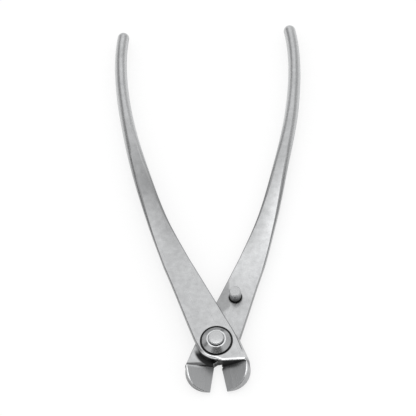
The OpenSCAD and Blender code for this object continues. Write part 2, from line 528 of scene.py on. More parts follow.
@dataclass
class Lever:
    """One lever, laid out with its handle on the right; the front one is mirrored at the end."""

    place: Place
    levels: Levels = field(default_factory=Levels)
    line: HandleLine = field(default_factory=HandleLine)
    boss_r: float = 9.1
    outer_lean: float = 21.0
    inner_edge: float = 9.55
    inner_lean: float = 26.3
    half_open: float = 10.0
    jaw_centre: tuple[float, float] = (-4.8, -12.2)
    jaw_r: float = 10.55
    waist: tuple[float, float] = (-11.1, 1.2)
    flare_y: float = 9.0
    shoulder_y: float = 10.2
    ledge_y: float = 10.2
    throat_lead: float = 0.05
    throat: tuple[float, float] = (-2.6, -10.3)
    front_shoulder: tuple[float, float] = (-1.95, -10.0)
    shoulder_skew: float = 1.3
    edge_land: float = 0.25
    front_reach: float = 14.0
    rear_reach: float = 17.0
    least_round: float = 0.04
    crest_round: float = 0.7
    ledge_round: float = 1.0
    ledge_spread: float = 1.9
    boss_round: float = 1.1
    throat_round: float = 0.5
    lap_round: float = 0.15
    corner_round: float = 0.6
    seat_round: float = 0.12
    shank_d: float = 6.5
    seat_d: float = 15.2
    seat_depth: float = 0.5
    sink_w: float = 1.1
    sink_depth: float = 0.3
    handle_steps: int = 60
    dome_steps: int = 9
    piece: bpy.types.Object = field(init=False)

    # -- places on the outline

    @property
    def is_front(self) -> bool:
        """Whether this is the upper lever of the two."""
        return self.place is Place.FRONT

    @property
    def lap(self) -> float:
        """Height of the flat face that lies against the other lever."""
        return self.levels.mid + (self.levels.play / 2 if self.is_front else -self.levels.play / 2)

    @property
    def skin(self) -> float:
        """Height of the plate's other face."""
        return self.levels.front if self.is_front else self.levels.rear

    @property
    def far(self) -> float:
        """Height of the face that the full-height jaw reaches beyond the lap."""
        return self.levels.rear if self.is_front else self.levels.front

    @property
    def wall_y(self) -> float:
        """Distance below the pivot of the wall that the ground bevel runs up to."""
        return self.ledge_y if self.is_front else self.shoulder_y - 0.1

    @property
    def bevel_slope(self) -> float:
        """Rise of the ground bevel for each millimetre away from the cutting edge."""
        reach = self.front_reach if self.is_front else self.rear_reach
        return (2 * self.levels.plate + self.levels.play - self.edge_land) / reach

    def bevel_height(self, point: Vector) -> float:
        """Height of the ground bevel over a point in plan."""
        return self.levels.rear + self.edge_land + self.bevel_slope * self.from_edge(point)

    def from_edge(self, point: Vector) -> float:
        """Distance of a point from the upright plane through the cutting edge."""
        return abs(point.x * self.edge_way.y - point.y * self.edge_way.x)

    @property
    def edge_way(self) -> Vector:
        """Direction of the cutting edge, away from the pivot."""
        return polar(1, -90 - self.half_open)

    @property
    def edge_tip(self) -> Vector:
        """Point where the cutting edge meets the round rim."""
        centre = Vector(self.jaw_centre)
        along = self.edge_way.dot(centre)
        return self.edge_way * (along + math.sqrt(self.jaw_r**2 - centre.length_squared + along**2))

    @property
    def rim_start(self) -> float:
        """Angle about the jaw's centre at which the straight flank turns into the rim."""
        arm = Vector(self.waist) - Vector(self.jaw_centre)
        return math.degrees(math.atan2(arm.y, arm.x) + math.acos(self.jaw_r / arm.length))

    def rim_angle(self, point: Vector) -> float:
        """Angle of a point about the jaw's centre, from 0 to 360."""
        arm = point - Vector(self.jaw_centre)
        return math.degrees(math.atan2(arm.y, arm.x)) % 360

    def inner_point(self, y: float) -> Vector:
        """Point of the straight inner edge at a height above the pivot."""
        lean = math.radians(self.inner_lean)
        return Vector((-(self.inner_edge - y * math.sin(lean)) / math.cos(lean), y))

    @property
    def shoulder(self) -> tuple[Vector, Vector]:
        """A point of the line where the full-height jaw starts, and the direction across that line."""
        if self.is_front:
            return Vector(self.front_shoulder), polar(1, 90 - self.shoulder_skew)
        return Vector((0, -self.shoulder_y)), Vector((0, 1))

    # -- the head

    def scribe(self) -> None:
        """Draw the head's outline on the lap plane and fill it."""
        u = self.line.plate_end
        half = self.line.side(u) * self.line.width(u) / 2
        outer, inner = self.line.centre(u) + half, self.line.centre(u) - half
        leave, way = polar(self.boss_r, -self.outer_lean), polar(1, 90 - self.outer_lean)
        third = (outer - leave).length / 3
        turn_in, waist = self.inner_point(self.flare_y), Vector(self.waist)
        rim = Vector(self.jaw_centre) + polar(self.jaw_r, self.rim_start)
        pull = (waist - turn_in).length / 3
        start = Vector((0, -self.boss_r))

        arrive = outer - self.line.travel(u) * third
        opening = math.cos(math.radians(self.half_open))

        draw = Scriber(start, self.lap)
        draw.arc((0, 0), 90 - self.outer_lean, 20)
        draw_curve(draw, leave, leave + way * third, arrive, outer, 12)
        draw.line(inner)
        draw.line(turn_in)
        down, onward = (turn_in - inner).normalized(), (rim - waist).normalized()
        draw_curve(draw, turn_in, turn_in + down * pull, waist - onward * pull, waist, 7)
        for share in (0.25, 0.5, 0.75, 1.0):
            draw.line(waist.lerp(rim, share))
        draw.arc(self.jaw_centre, self.rim_angle(self.edge_tip) - self.rim_start, 44)
        if self.is_front:
            draw.line(self.edge_way * (-self.throat[1] + 0.5) / opening)
            draw.line(self.throat)
        else:
            draw.line(self.edge_way * (self.shoulder_y - self.throat_lead) / opening)
        draw.line(start)
        self.piece = draw.close()

    def raise_plates(self) -> None:
        """Give the head its thickness, and the jaw the full height of both plates."""
        edit(self.piece)
        bpy.ops.mesh.select_all(action="SELECT")
        on_line, across = self.shoulder
        bpy.ops.mesh.bisect(plane_co=(*on_line, self.lap), plane_no=(*across, 0))
        if pick(self.piece, "VERT", self.crowds_the_ledge):
            bpy.ops.mesh.dissolve_verts()
        bpy.ops.mesh.select_all(action="SELECT")
        bpy.ops.mesh.remove_doubles(threshold=0.06)
        bpy.ops.mesh.extrude_region_move(TRANSFORM_OT_translate={"value": (0, 0, self.skin - self.lap)})
        pick(self.piece, "FACE", self.is_jaw_lap)
        rise = self.far - self.lap + (0 if self.is_front else 1)
        bpy.ops.mesh.extrude_region_move(TRANSFORM_OT_translate={"value": (0, 0, rise)})
        bpy.ops.mesh.select_all(action="SELECT")
        bpy.ops.mesh.normals_make_consistent(inside=False)
        leave_edit()

    def crowds_the_ledge(self, vertex: bmesh.types.BMVert) -> bool:
        """Whether a point of the flank stands too near the shoulder or the ledge to be rounded."""
        on_line, across = self.shoulder
        off = abs((vertex.co.xy - on_line).dot(across))
        return vertex.co.x < -6 and abs(vertex.co.y + self.shoulder_y) < 1.2 and off > 0.002

    def is_jaw_lap(self, face: bmesh.types.BMFace) -> bool:
        """Whether a face is the jaw's share of the lap plane."""
        middle = face.calc_center_median()
        flat = all(abs(v.co.z - self.lap) < 0.001 for v in face.verts)
        return flat and middle.y < -self.shoulder_y - 0.5

    def lean_in(self, point: Vector, height: float) -> float:
        """How far the flank stands in from its outline at a height.

        Args:
            point: Point of the outline, in plan.
            height: Height above the tool's rear.

        Returns:
            Distance in millimetres.
        """
        angle = self.rim_angle(point)
        to_tip = between(angle, 185, 275)
        waist_share = 1 - between(point.y, self.waist[1], self.flare_y)
        on_jaw = point.y < -self.shoulder_y + 1
        if self.is_front:
            middle = 0.5 * to_tip if on_jaw else 0.0
            top = mix(1.75, 1.5, to_tip) if angle > 180 else mix(
                1.3 * waist_share, 1.75, between(point.y, -5, -self.ledge_y)
            )
        else:
            middle = 1.2 * waist_share * between(point.y, -10, -6)
            top = mix(mix(1.3, 2.0, between(angle, 169, 186)), 1.2, to_tip)
        if height <= self.levels.mid + self.levels.play:
            return middle * max(0.0, height - self.levels.rear) / (self.levels.mid - self.levels.rear)
        return mix(middle, top, (height - self.levels.mid) / (self.levels.front - self.levels.mid))

    def inward(self, point: Vector) -> Vector | None:
        """Direction in which the flank leans in.

        Args:
            point: Point of the outline, in plan.

        Returns:
            The direction, of length one, or None for a point off the flank.
        """
        arm = point - Vector(self.jaw_centre)
        rim = Vector(self.jaw_centre) + polar(self.jaw_r, self.rim_start)
        if point.length < self.seat_d / 2 + 0.1:
            return None
        if -self.shoulder_y - 0.05 < point.y < rim.y + 0.1 and point.x < -6:
            return Vector((1, 0))
        if abs(arm.length - self.jaw_r) < 0.02 and point.y < rim.y + 0.1:
            return -self.edge_way if self.from_edge(point) < 0.05 else -arm.normalized()
        if rim.y <= point.y < self.flare_y and point.x < -6:
            below = (Vector(self.waist) - rim).normalized()
            straight = polar(1, 90 - self.inner_lean)
            way = below.lerp(straight, between(point.y, self.waist[1] - 2, self.flare_y)).normalized()
            return Vector((way.y, -way.x))
        return None

    def lean_flank(self) -> None:
        """Move the flank's points in, each by its height, and keep the crest on the ground bevel."""
        edit(self.piece)
        moves: dict[int, Vector] = {}
        for vertex in bmesh.from_edit_mesh(self.piece.data).verts:
            point, height = vertex.co.xy, vertex.co.z
            way = self.inward(point)
            if way is None or height < self.levels.rear + 0.001:
                continue
            shift = way * self.lean_in(point, height)
            on_bevel = abs(height - self.bevel_height(point)) < 0.01
            drop = self.bevel_height(point + shift) - height if on_bevel else 0.0
            moves[vertex.index] = Vector((shift.x, shift.y, drop))
        for index, move in moves.items():
            if move.length > 0.001:
                pick(self.piece, "VERT", lambda v, i=index: v.index == i)
                bpy.ops.transform.translate(value=move)
        leave_edit()

    def bevel_tool(self) -> bpy.types.Object:
        """Block whose lower face is the ground bevel and whose side is the wall behind it.

        Returns:
            The block, in object mode.
        """
        reach, past = 60.0, 1.0
        deselect_all()
        bpy.ops.mesh.primitive_cube_add(size=reach, location=(past - reach / 2, 0, reach / 2))
        tool = bpy.context.object
        slope = math.atan(self.bevel_slope)
        bpy.ops.object.mode_set(mode="EDIT")
        bpy.ops.mesh.select_all(action="SELECT")
        # The rotate operator turns the other way round each axis here.
        for angle, axis in ((-slope, "Y"), (math.radians(self.half_open), "Z")):
            bpy.ops.transform.rotate(value=angle, orient_axis=axis, center_override=(0, 0, 0))
        bpy.ops.transform.translate(value=(0, 0, self.levels.rear + self.edge_land))
        bpy.ops.mesh.select_all(action="SELECT")
        bpy.ops.mesh.bisect(
            plane_co=(0, -self.wall_y, 0), plane_no=(0, 1, 0), use_fill=True, clear_outer=True
        )
        leave_edit()
        return tool

    def grind_bevel(self) -> None:
        """Cut the jaw's ground bevel and leave each flat as one face."""
        carve(self.piece, self.bevel_tool())
        edit(self.piece)
        bpy.ops.mesh.select_all(action="SELECT")
        bpy.ops.mesh.remove_doubles(threshold=0.06)
        bpy.ops.mesh.dissolve_limited(angle_limit=math.radians(0.2))
        leave_edit()

    def drill(self) -> None:
        """Cut the bore and the washer's seat, and the pin's hole in the rear lever."""
        low, high = self.levels.rear - 1, self.levels.front + 1
        floor, brim = self.skin - self.outward * self.seat_depth, self.skin - self.outward * self.seat_round
        seat_r = self.seat_d / 2
        carve(self.piece, drum(self.shank_d / 2, low, high))
        carve(self.piece, drum(seat_r, *sorted((floor, self.skin + self.outward))))
        if self.is_front:
            carve(self.piece, drum(seat_r, brim, self.skin + 0.01, top=seat_r + self.seat_round))
            return
        pin = (PIN_LOW + PIN_HIGH) / 2
        pin_r = (PIN_HIGH.x - PIN_LOW.x) / 2
        carve(self.piece, drum(pin_r, low, high, pin))
        sink = (self.lap - self.sink_depth, self.lap + self.sink_depth)
        carve(self.piece, drum(pin_r, *sink, pin, top=pin_r + 2 * self.sink_w))

    @property
    def outward(self) -> int:
        """Way along Z in which the plate's bare face looks: 1 is up."""
        return 1 if self.is_front else -1

    def is_rounded(self, edge: bmesh.types.BMEdge) -> bool:
        """Whether an edge of the head is rounded.

        Args:
            edge: Edge of the head, with its handle not yet drawn.

        Returns:
            True for the sharp outer edges, apart from the cutting edge, the plate's open end and
            the edges that lie against the other lever.
        """
        if fold_angle(edge) < 28 or not edge.is_convex or edge.calc_length() < 0.2:
            return False
        u = self.line.plate_end
        ends = [v.co for v in edge.verts]
        if all((p.xy - self.line.centre(u)).dot(self.line.travel(u)) > -0.01 for p in ends):
            return False
        if max(self.from_edge(p) for p in ends) < 0.05 and max(p.z for p in ends) < self.levels.rear + 0.3:
            return False
        on_lap = all(abs(p.z - self.lap) < 0.01 for p in ends)
        below_wall = max(p.y for p in ends) < -self.wall_y + 0.01
        return not (on_lap and below_wall and max(p.x for p in ends) > -14)

    def radius_at(self, vertex: bmesh.types.BMVert) -> float:
        """Radius of the rounding at a corner of the head.

        Args:
            vertex: Corner that the rounding passes.

        Returns:
            The radius in millimetres.
        """
        point, height = vertex.co.xy, vertex.co.z
        if min(e.calc_length() for e in vertex.link_edges) < 0.2:
            return self.least_round
        if point.x > -3.2 and point.y < -self.boss_r - 0.1 and height < self.lap + 0.01:
            return 2 * self.least_round
        room = 0.4 * (self.bevel_height(point) - self.levels.rear)
        if self.from_edge(point) < 0.05:
            return room
        if point.x > -3 and abs(point.y + self.wall_y) < 0.01:
            return self.throat_round if self.is_front else self.lap_round
        u = self.line.plate_end
        if (point - self.line.centre(u)).dot(self.line.travel(u)) > -0.01:
            return self.line.edge_round
        if abs(height - self.lap) < 0.01:
            return self.lap_round
        on_wall_end = point.x < -12 and abs(point.y + self.ledge_y) < 0.05
        if self.is_front and on_wall_end and height > self.lap:
            return self.corner_round if height > self.skin - 0.1 else self.lap_round
        below_skin = height < self.skin - 0.1
        if point.y < -self.shoulder_y + 0.02 or (point.y < -self.ledge_y + 0.01 and below_skin):
            start = between(-point.y, self.ledge_y, self.ledge_y + 3)
            crest = mix(self.line.edge_round, self.crest_round, start)
            return min(crest if height > self.levels.rear + 0.01 else self.line.edge_round, room)
        if abs(point.y + self.wall_y) < 0.01:
            return self.ledge_round
        on_boss = self.is_front and point.x > -0.1 and abs(point.length - self.boss_r) < 0.05
        return mix(self.boss_round, self.line.edge_round, between(point.y, -6, 1) if on_boss else 1)

    def round_edges(self) -> None:
        """Round the head's outer edges.

        A fine bevel is cut along every edge first, and each of its corners is then scaled about
        the corner it replaced, so that the radius can change along an edge. The new faces get
        material 1, the polished edge.
        """
        edit(self.piece)
        mesh = bmesh.from_edit_mesh(self.piece.data)
        weight = mesh.edges.layers.float.new("bevel_weight_edge")
        for edge in mesh.edges:
            edge[weight] = float(self.is_rounded(edge))
        corners = [
            (vertex.co.copy(), self.radius_at(vertex))
            for vertex in mesh.verts
            if any(edge[weight] > 0 for edge in vertex.link_edges)
        ]
        bmesh.update_edit_mesh(self.piece.data)
        leave_edit()
        make_active(self.piece)
        step = self.piece.modifiers.new("round", "BEVEL")
        step.limit_method = "WEIGHT"
        step.width = self.least_round
        step.segments = 4
        step.use_clamp_overlap = False
        step.material = 1
        bpy.ops.object.modifier_apply(modifier=step.name)
        edit(self.piece)
        verts = bmesh.from_edit_mesh(self.piece.data).verts
        near = 3 * self.least_round
        groups = [{v.index for v in verts if (v.co - at).length < near} for at, _ in corners]
        for (at, radius), group in zip(corners, groups):
            pick(self.piece, "VERT", lambda v, g=group: v.index in g)
            grow = radius / self.least_round
            at_wall = abs(at.y + self.wall_y) < 0.35 and at.x < -1
            wide = self.ledge_spread if self.is_front and at_wall and at.z > self.skin - 0.1 else 1.0
            bpy.ops.transform.resize(value=(grow, grow * wide, grow), center_override=at)
        leave_edit()

    # -- the handle

    def is_plate_end(self, face: bmesh.types.BMFace) -> bool:
        """Whether a face is the plate's cut end, where the handle goes on."""
        u = self.line.plate_end
        way = self.line.travel(u)
        past = (face.calc_center_median().xy - self.line.centre(u)).dot(way)
        return face.normal.xy.dot(way) > 0.99 and past > -0.1

    def open_end(self) -> None:
        """Open the plate's end and give its outline as many points as a handle section has."""
        section = self.line.section(self.line.plate_end, self.levels.plate)
        edit(self.piece)
        pick(self.piece, "FACE", self.is_plate_end)
        bpy.ops.mesh.delete(type="ONLY_FACE")
        for upright, parts in ((True, section.side_steps), (False, section.face_steps)):
            pick(self.piece, "EDGE", lambda e, u=upright: self.is_flat_of_end(e, u))
            bpy.ops.mesh.subdivide(number_cuts=parts - 1)

    @staticmethod
    def is_flat_of_end(edge: bmesh.types.BMEdge, upright: bool) -> bool:
        """Whether an edge is one of the open end's upright sides, or one of its broad sides."""
        rise = abs(edge.verts[0].co.z - edge.verts[1].co.z)
        return edge.is_boundary and edge.calc_length() > 1 and (rise > 1) == upright

    def lay_grain(self) -> None:
        """Write on the head how the finish runs: along the handle, and along the cutting edge."""
        u = self.line.plate_end
        centre, way, side = self.line.centre(u), self.line.travel(u), self.line.side(u)
        mesh = bmesh.from_edit_mesh(self.piece.data)
        grain = mesh.verts.layers.float_vector.new("grain")
        ground = mesh.verts.layers.float_vector.new("ground")
        for vertex in mesh.verts:
            point, height = vertex.co.xy, vertex.co.z
            vertex[grain] = ((point - centre).dot(side), (point - centre).dot(way), height)
            vertex[ground] = (point.cross(self.edge_way), point.dot(self.edge_way), height)
        bmesh.update_edit_mesh(self.piece.data)

    def ring(self, u: float, scale: float = 1.0, past: float = 0.0) -> list[Vector]:
        """Points of one section, set across the centre line.

        Args:
            u: Share of the centre line.
            scale: Share of the section's size, for the round end.
            past: Distance beyond the place on the centre line.

        Returns:
            The points in order round the section.
        """
        whole, turned = self.line.section(u, self.levels.plate), self.line.roundness(u)
        section = Section(whole.width * scale, whole.height * scale, whole.corner * scale)
        centre = self.line.centre(u) + self.line.travel(u) * past
        height = mix((self.lap + self.skin) / 2, self.levels.mid, turned)
        side = self.line.side(u)
        return [Vector((*(centre + side * p.x), height + p.y)) for p in section.points(turned)]

    def extend(self, before: list[Vector], after: list[Vector], along: float) -> None:
        """Extrude the open end once and set the new points.

        No transform operator turns a rectangle into a circle, so the points are set one by one.

        Args:
            before: Points of the ring that is extruded, in order.
            after: Points of the new ring, in the same order.
            along: Distance of the new ring from the plate's end, for the finish.
        """
        pick(self.piece, "EDGE", lambda e: e.is_boundary)
        bpy.ops.mesh.extrude_region_move(TRANSFORM_OT_translate={"value": (0, 0, 0)})
        mesh = bmesh.from_edit_mesh(self.piece.data)
        grain = mesh.verts.layers.float_vector["grain"]
        middle = sum(after, Vector((0, 0, 0))) / len(after)
        side = (after[0] - middle).xy.normalized()
        for vertex in [v for v in mesh.verts if v.select]:
            place = min(range(len(before)), key=lambda i: (before[i] - vertex.co).length_squared)
            vertex.co = after[place]
            vertex[grain] = ((vertex.co - middle).xy.dot(side), along, vertex.co.z)
        bmesh.update_edit_mesh(self.piece.data)

    def draw_handle(self) -> None:
        """Draw the handle out of the plate's end, ring by ring, and close it with a round end."""
        line = self.line
        self.open_end()
        self.lay_grain()
        before, along, last = self.ring(line.plate_end), 0.0, line.centre(line.plate_end)
        for i in range(1, self.handle_steps + 1):
            u = mix(line.plate_end, 1, i / self.handle_steps)
            along += (line.centre(u) - last).length
            after = self.ring(u)
            self.extend(before, after, along)
            before, last = after, line.centre(u)
        depth = line.rod / 2 - 0.02
        for i in range(1, self.dome_steps):
            angle = math.radians(90 * i / self.dome_steps)
            after = self.ring(1, math.cos(angle), depth * math.sin(angle))
            self.extend(before, after, along + depth * math.sin(angle))
            before = after
        pick(self.piece, "EDGE", lambda e: e.is_boundary)
        tip = line.travel(1) * depth * (1 - math.sin(angle))
        bpy.ops.mesh.extrude_region_move(TRANSFORM_OT_translate={"value": (tip.x, tip.y, 0)})
        bpy.ops.mesh.merge(type="CENTER")
        leave_edit()

    # -- finish

    def is_ground(self, face: bmesh.types.BMFace) -> bool:
        """Whether a face of the head lies on the ground bevel."""
        across = self.edge_way.orthogonal().normalized()
        slope = Vector((*(across * self.bevel_slope * math.copysign(1, across.x)), 1))
        return face.calc_area() > 20 and math.degrees(face.normal.angle(slope)) < 3

    def ends_lap(self, edge: bmesh.types.BMEdge) -> bool:
        """Whether the lap face meets another face at an edge that no rounding eases."""
        return all(abs(v.co.z - self.lap) < 0.01 for v in edge.verts) and fold_angle(edge) > 20

    def mark_bevel(self) -> None:
        """Give the ground bevel its own material, and keep its shading off the lap face."""
        edit(self.piece)
        pick(self.piece, "FACE", self.is_ground)
        self.piece.active_material_index = 2
        bpy.ops.object.material_slot_assign()
        pick(self.piece, "EDGE", self.ends_lap)
        bpy.ops.mesh.mark_sharp()
        leave_edit()

    def set_on_side(self) -> None:
        """Turn every face outwards, after the front lever is mirrored to its own side."""
        if self.is_front:
            edit(self.piece)
            bpy.ops.mesh.select_all(action="SELECT")
            bpy.ops.transform.resize(value=(-1, 1, 1), center_override=(0, 0, 0))
            leave_edit()
        point_outwards(self.piece)

    def build(self, finishes: Sequence[bpy.types.Material]) -> bpy.types.Object:
        """Model and dress the lever.

        Args:
            finishes: Materials of the plate and rod, of the polished edges and of the ground bevel.

        Returns:
            The finished piece, in metres.
        """
        self.scribe()
        for finish in finishes:
            self.piece.data.materials.append(finish)
        self.raise_plates()
        self.grind_bevel()
        self.lean_flank()
        self.round_edges()
        self.drill()
        self.mark_bevel()
        self.draw_handle()
        self.set_on_side()
        shade(self.piece)
        name = "front_lever" if self.is_front else "rear_lever"
        to_metres(self.piece, f"nippers_{name}")
        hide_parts(name)
        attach(self.piece, "front_half" if self.is_front else "rear_half")
        return self.piece


# ---------------------------------------------------------------- pivot and stop


@dataclass
class Pivot:
    """The riveted pivot: a shank with a flat rear head, closed over inside a coned washer."""

    shank_r: float = 3.2
    head_round: float = 0.4
    button_r: float = 3.6
    button_round: float = 0.5
    crown_angle: float = 5.0
    washer_hole: float = 3.24
    recess_r: float = 3.92
    recess_depth: float = 0.7
    lip_r: float = 4.4
    rim_h: float = 0.86
    fine_round: float = 0.12

    def turn_rivet(self) -> bpy.types.Object:
        """Turn the rivet: rear head, shank, and the domed end that is closed over the washer.

        Returns:
            The rivet, in millimetres.
        """
        low, high = RIVET_LOW.z, RIVET_HIGH.z
        head_r, head_top = RIVET_HIGH.x, REAR_WASHER_LOW.z
        floor = WASHER_HIGH.z - self.recess_depth
        crown = math.radians(self.crown_angle)
        inner = self.button_r - self.button_round
        ball = inner / math.sin(crown) + self.button_round
        shoulder = high - ball + inner / math.tan(crown)
        draw = Lathe((0, low))
        draw.bend((head_r, low), (head_r, high), self.head_round, 6)
        draw.bend((head_r, head_top), (0, head_top), self.fine_round)
        draw.line((self.shank_r, head_top))
        draw.line((self.shank_r, floor))
        draw.bend((self.button_r, floor), (self.button_r, high), self.fine_round)
        draw.line((self.button_r, shoulder))
        draw.arc((inner, shoulder), 90 - self.crown_angle, 8)
        draw.arc((0, high - ball), self.crown_angle, 8)
        return draw.turn()

    def turn_front_washer(self) -> bpy.types.Object:
        """Turn the coned washer with the recess that holds the rivet's closed end.

        Returns:
            The washer, in millimetres.
        """
        foot, lip_z, rim_r = WASHER_LOW.z, WASHER_HIGH.z, WASHER_HIGH.x
        rim_z, floor = foot + self.rim_h, lip_z - self.recess_depth
        draw = Lathe((self.washer_hole, foot))
        draw.bend((rim_r, foot), (rim_r, rim_z), self.fine_round)
        draw.bend((rim_r, rim_z), (self.lip_r, lip_z), 0.2)
        draw.bend((self.lip_r, lip_z), (0, lip_z), 0.3)
        draw.bend((self.recess_r, lip_z), (self.recess_r, floor), self.fine_round)
        draw.line((self.recess_r, floor))
        draw.line((self.washer_hole, floor))
        draw.line((self.washer_hole, foot))
        return draw.turn()

    def turn_rear_washer(self) -> bpy.types.Object:
        """Turn the flat washer under the rear head.

        Returns:
            The washer, in millimetres.
        """
        low, high, rim_r = REAR_WASHER_LOW.z, REAR_WASHER_HIGH.z, REAR_WASHER_HIGH.x
        draw = Lathe((self.washer_hole, low))
        draw.bend((rim_r, low), (rim_r, high), 0.25, 6)
        draw.bend((rim_r, high), (0, high), self.fine_round)
        draw.line((self.washer_hole, high))
        draw.line((self.washer_hole, low))
        return draw.turn()

    def build(self, rivet: bpy.types.Material, washer: bpy.types.Material) -> list[bpy.types.Object]:
        """Model and dress the three pieces of the pivot.

        Args:
            rivet: Finish of the rivet.
            washer: Finish of both washers.

        Returns:
            The rivet, the front washer and the rear washer, in metres.
        """
        pieces = []
        rows = (
            (self.turn_rivet, "pivot_rivet", rivet, "rivet_steel"),
            (self.turn_front_washer, "front_washer", washer, "washer_steel"),
            (self.turn_rear_washer, "rear_washer", washer, "washer_steel"),
        )
        for turn, node, finish, slot in rows:
            piece = turn()
            finish_turned(piece, node, finish)
            pieces.append(piece)
        return pieces


def finish_turned(piece: bpy.types.Object, node: str, finish: bpy.types.Material) -> None:
    """Dress a turned piece, which rides on the rear half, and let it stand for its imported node.

    Args:
        piece: Turned piece, in millimetres.
        node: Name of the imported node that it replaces.
        finish: Its material.
    """
    piece.data.materials.append(finish)
    shade(piece, 35)
    to_metres(piece, f"nippers_{node}")
    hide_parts(node)
    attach(piece, "rear_half")


@dataclass
class StopPin:
    """The pin pressed into the rear lever that the front lever's inner edge stops against."""

    chamfer: float = 0.45
    fine_round: float = 0.08

    def build(self, finish: bpy.types.Material) -> bpy.types.Object:
        """Turn and dress the pin.

        Args:
            finish: Its material.

        Returns:
            The pin, in metres.
        """
        middle = (PIN_LOW + PIN_HIGH) / 2
        low, high, radius = PIN_LOW.z, PIN_HIGH.z, (PIN_HIGH.x - PIN_LOW.x) / 2
        draw = Lathe((0, low))
        draw.bend((radius, low), (radius, high), 0.2)
        draw.bend((radius, high - self.chamfer), (radius - self.chamfer, high), self.fine_round)
        draw.bend((radius - self.chamfer, high), (0, high), self.fine_round)
        draw.line((0, high))
        piece = draw.turn((middle.x, middle.y))
        finish_turned(piece, "stop_pin", finish)
        return piece


# ---------------------------------------------------------------- finishes

Socket = bpy.types.NodeSocket
Tree = bpy.types.NodeTree
Pair = tuple[float, float]

# Part of its range that a noise texture really fills
NOISE_BAND = (0.3, 0.7)


class Ramp(Enum):
    """How a level runs between its two ends."""

    STRAIGHT = "LINEAR"
    EASED = "SMOOTHSTEP"
    SOFT = "SMOOTHERSTEP"


def linear(code: str) -> tuple[float, float, float, float]:
    """Colour of an sRGB hex code as linear red, green and blue, with alpha 1."""
    parts = [int(code[i : i + 2], 16) / 255 for i in (1, 3, 5)]
    red, green, blue = (v / 12.92 if v <= 0.04045 else ((v + 0.055) / 1.055) ** 2.4 for v in parts)
    return red, green, blue, 1.0


def add_node(
    tree: Tree,
    kind: str,
    settings: dict[str, object] | None = None,
    inputs: dict[str | int, object] | None = None,
) -> bpy.types.Node:
    """Add a node with its settings, its constants and its links.

    Args:
        tree: Tree to add to.
        kind: Type name of the node.
        settings: Properties of the node by name.
        inputs: For each input, by name or number, a constant or the socket that feeds it.

    Returns:
        The new node.
    """
    node = tree.nodes.new(kind)
    for name, value in (settings or {}).items():
        setattr(node, name, value)
    for name, value in (inputs or {}).items():
        if isinstance(value, Socket):
            tree.links.new(value, node.inputs[name])
        else:
            node.inputs[name].default_value = value
    return node


def calculate(tree: Tree, operation: str, *values: float | Socket) -> Socket:
    """Put values, constants or sockets, through one maths node."""
    return add_node(tree, "ShaderNodeMath", {"operation": operation}, dict(enumerate(values))).outputs[0]


def product(tree: Tree, *values: Socket) -> Socket:
    """Product of a row of values."""
    return reduce(lambda first, second: calculate(tree, "MULTIPLY", first, second), values)


def largest(tree: Tree, *values: Socket) -> Socket:
    """Largest of a row of values."""
    return reduce(lambda first, second: calculate(tree, "MAXIMUM", first, second), values)


def ramp(
    tree: Tree,
    value: Socket,
    span: Pair = (0.0, 1.0),
    levels: Pair = (0.0, 1.0),
    kind: Ramp = Ramp.EASED,
) -> Socket:
    """Lead a level from one end to the other while a value crosses a span.

    Args:
        tree: Tree to add to.
        value: Value that crosses the span.
        span: Values at which the change starts and ends.
        levels: Level before the span and level beyond it.
        kind: How the level runs between the two.

    Returns:
        Socket that carries the level.
    """
    limits = dict(zip(("From Min", "From Max", "To Min", "To Max"), (*span, *levels)))
    settings = {"interpolation_type": kind.value}
    return add_node(tree, "ShaderNodeMapRange", settings, {"Value": value, **limits}).outputs[0]


def axes(tree: Tree, vector: Socket) -> bpy.types.NodeOutputs:
    """Three parts of a vector, by the names X, Y and Z."""
    return add_node(tree, "ShaderNodeSeparateXYZ", inputs={"Vector": vector}).outputs


def measure(tree: Tree, operation: str, *vectors: Point | Socket) -> Socket:
    """Number that a vector maths node makes of one or two vectors, such as a distance."""
    node = add_node(tree, "ShaderNodeVectorMath", {"operation": operation}, dict(enumerate(vectors)))
    return node.outputs["Value"]


def flattened(tree: Tree, place: Socket) -> Socket:
    """Place in plan, with its height left out."""
    inputs = {0: place, 1: (1.0, 1.0, 0.0)}
    return add_node(tree, "ShaderNodeVectorMath", {"operation": "MULTIPLY"}, inputs).outputs[0]


def scaled(tree: Tree, vector: Point | Socket, share: float | Socket) -> Socket:
    """Colour or vector times a share."""
    inputs = {0: vector, "Scale": share}
    return add_node(tree, "ShaderNodeVectorMath", {"operation": "SCALE"}, inputs).outputs[0]


def blend(tree: Tree, share: Socket, dark: str, light: str) -> Socket:
    """Colour between a dark and a light one, both given as hex codes."""
    inputs = {"Factor": share, 6: linear(dark), 7: linear(light)}
    return add_node(tree, "ShaderNodeMix", {"data_type": "RGBA"}, inputs).outputs[2]


def noise(tree: Tree, place: Socket, scale: float, detail: float) -> Socket:
    """Cloudy noise of so many grains to the unit of the place."""
    inputs = {"Vector": place, "Scale": scale, "Detail": detail}
    return add_node(tree, "ShaderNodeTexNoise", inputs=inputs).outputs["Fac"]


def strokes(tree: Tree, lie: Socket, sizes: Point, detail: float) -> Socket:
    """Noise whose grains have a size of their own along each axis of the lie."""
    inputs = {"Vector": lie, "Scale": tuple(1 / size for size in sizes)}
    return noise(tree, add_node(tree, "ShaderNodeMapping", inputs=inputs).outputs[0], 1.0, detail)


def bump(
    tree: Tree, height: Socket, strength: float, distance: float, under: Socket | None = None
) -> Socket:
    """Relief in the surface.

    Args:
        tree: Tree to add to.
        height: Pattern of the relief.
        strength: Share of the relief that shows.
        distance: Depth of the pattern, in metres.
        under: Normal of a coarser relief that this one lies on.

    Returns:
        Socket that carries the normal.
    """
    inputs = {"Strength": strength, "Distance": distance, "Height": height}
    if under is not None:
        inputs["Normal"] = under
    return add_node(tree, "ShaderNodeBump", inputs=inputs).outputs["Normal"]


